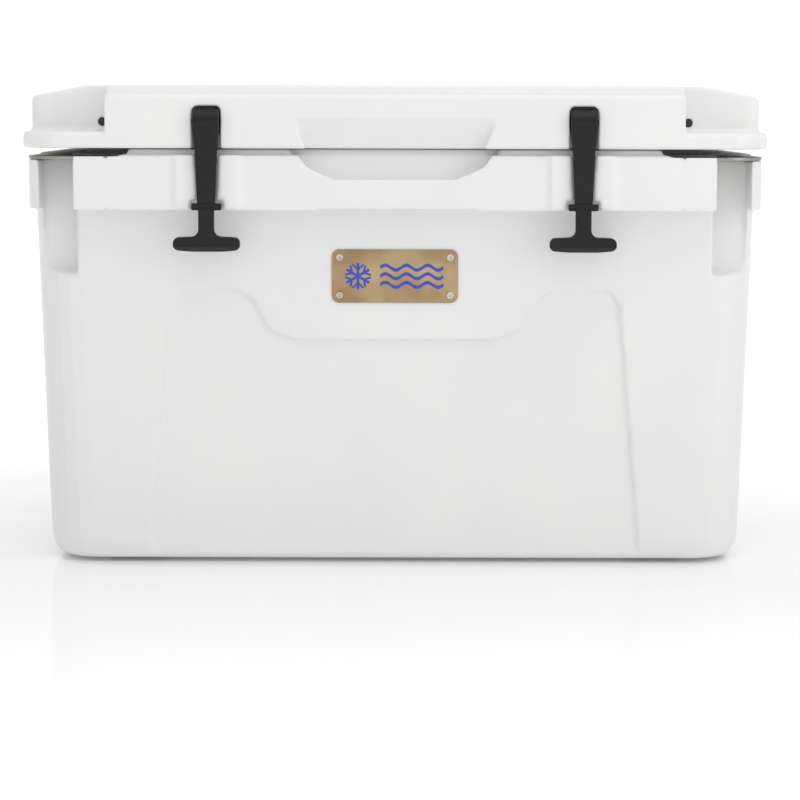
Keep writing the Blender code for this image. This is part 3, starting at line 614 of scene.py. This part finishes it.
def eased(node, name, finish, body, slot, width, segments=2):
    """A copy of a CAD node with its sharp edges rounded."""
    piece = copy_of(node, name)
    round_edges(piece, width, segments, 40)
    smooth_faces(piece)
    finish_piece(piece, finish, body, slot, node)


for side in ("left", "right"):
    eased(f"lock_plate_{side}", f"lock_plate_steel_{side}", STAINLESS, "tub", "stainless", 0.4 * MM)
for number in range(1, 5):
    eased(f"foot_{number}", f"foot_rubber_{number}", FOOT_RUBBER, "tub", "rubber", 0.5 * MM)
eased("drain_cap", "drain_knob", DRAIN_PLASTIC, "drain_cap", "drain_plastic", 0.5 * MM, 3)
eased("drain_fitting", "drain_flange", DRAIN_PLASTIC, "tub", "drain_plastic", 0.5 * MM)

# %% Finishes of the other nodes


def dress(node, finish):
    """Put a finish on a CAD node that keeps its own mesh."""
    materials = frame["nodes"][node].data.materials
    if not materials:
        materials.append(finish)
    for i in range(len(materials)):
        materials[i] = finish


# The first prefix that fits a node's name gives its finish.
FINISHES = {
    "latch_pin": BLACK_PIN, "hinge_pin": PIN_STEEL, "latch": LATCH_RUBBER, "lock_plate": STAINLESS,
    "badge_rivet": RIVET_METAL, "badge_plate": BRONZE_PLATE, "foot": FOOT_RUBBER, "lid_gasket": SEAL_RUBBER_AND_PAINTED_GAP_LIGHT,
    "drain_gasket": STOPPER_RUBBER, "drain_stopper": STOPPER_RUBBER, "drain": DRAIN_PLASTIC,
    "body_foam": FOAM, "lid_foam": FOAM, "body_fill_plug": PLUG_PLASTIC, "lid_fill_plug": PLUG_PLASTIC,
}
dressed = 0
for node in frame["nodes"]:
    for prefix, finish in FINISHES.items():
        if node.startswith(prefix):
            dress(node, finish)
            dressed += 1
            break
print(dressed, "of", len(frame["nodes"]), "nodes dressed; the rest are the shells' slabs")

# %% [markdown]
# ## Studio
# A white sweep with soft light from all round: the world is the white room, a broad softbox above and in
# front gives the shapes their gentle shading, and the glossy floor holds a faint reflection. The floor glows
# a little, least at the chest's front, so that it fades to white towards the camera and the horizon.

# %% Studio


def studio_floor():
    select_only()
    bpy.ops.mesh.primitive_grid_add(x_subdivisions=8, y_subdivisions=8, size=14, location=(0, 0, -0.2 * MM))
    floor = bpy.context.object
    floor.name = "studio_floor"
    settle(floor)
    finish, tree, shader, place = new_finish("polished_white_acrylic", Roughness=0.09, IOR=1.49)
    shader.inputs["Base Color"].default_value = linear("FAFAFA")
    shader.inputs["Emission Color"].default_value = (1, 1, 1, 1)
    along = add_node(tree, "ShaderNodeSeparateXYZ", Vector=place).outputs["Y"]
    from_front = add_node(tree, "ShaderNodeMath", {"operation": "ADD"}, Value=along)
    from_front.inputs[1].default_value = 0.25      # darkest 0.25 m in front of the chest's middle
    distance = add_node(tree, "ShaderNodeMath", {"operation": "ABSOLUTE"}, Value=from_front.outputs["Value"])
    glow = add_node(
        tree, "ShaderNodeMapRange", {"From Min": 0.0, "From Max": 1.5, "To Min": 0.03, "To Max": 0.35},
        Value=distance.outputs["Value"],
    )
    tree.links.new(glow.outputs["Result"], shader.inputs["Emission Strength"])
    floor.data.materials.append(finish)


studio_floor()


def softbox(name, place, aim, size, power, colour="FFFFFF"):
    lamp = bpy.data.lights.new(name, "AREA")
    lamp.shape = "RECTANGLE"
    lamp.size, lamp.size_y = size
    lamp.energy = power
    lamp.color = linear(colour)[:3]
    holder = bpy.data.objects.new(name, lamp)
    bpy.context.collection.objects.link(holder)
    holder.location = place
    holder.rotation_euler = (Vector(aim) - Vector(place)).to_track_quat("-Z", "Y").to_euler()


softbox("top_softbox", (0.3, -0.9, 2.2), (0, -0.1, 0.3), (1.6, 1.2), 8.5)
softbox("right_softbox", (2.2, -1.6, 1.0), (0, 0, 0.25), (0.9, 1.4), 7)
softbox("low_front_softbox", (0.1, -2.6, 0.15), (0, -0.2, 0.15), (2.4, 0.25), 1.5)

world = bpy.data.worlds.new("white_room")
bpy.context.scene.world = world
world.use_nodes = True
room = world.node_tree.nodes["Background"]
room.inputs["Color"].default_value = (1, 1, 1, 1)
seen = world.node_tree.nodes.new("ShaderNodeLightPath").outputs["Is Camera Ray"]
strength = add_node(world.node_tree, "ShaderNodeMapRange", {"To Min": 0.83, "To Max": 1.05}, Value=seen)
world.node_tree.links.new(strength.outputs["Result"], room.inputs["Strength"])
bpy.context.scene.view_settings.view_transform = "Standard"
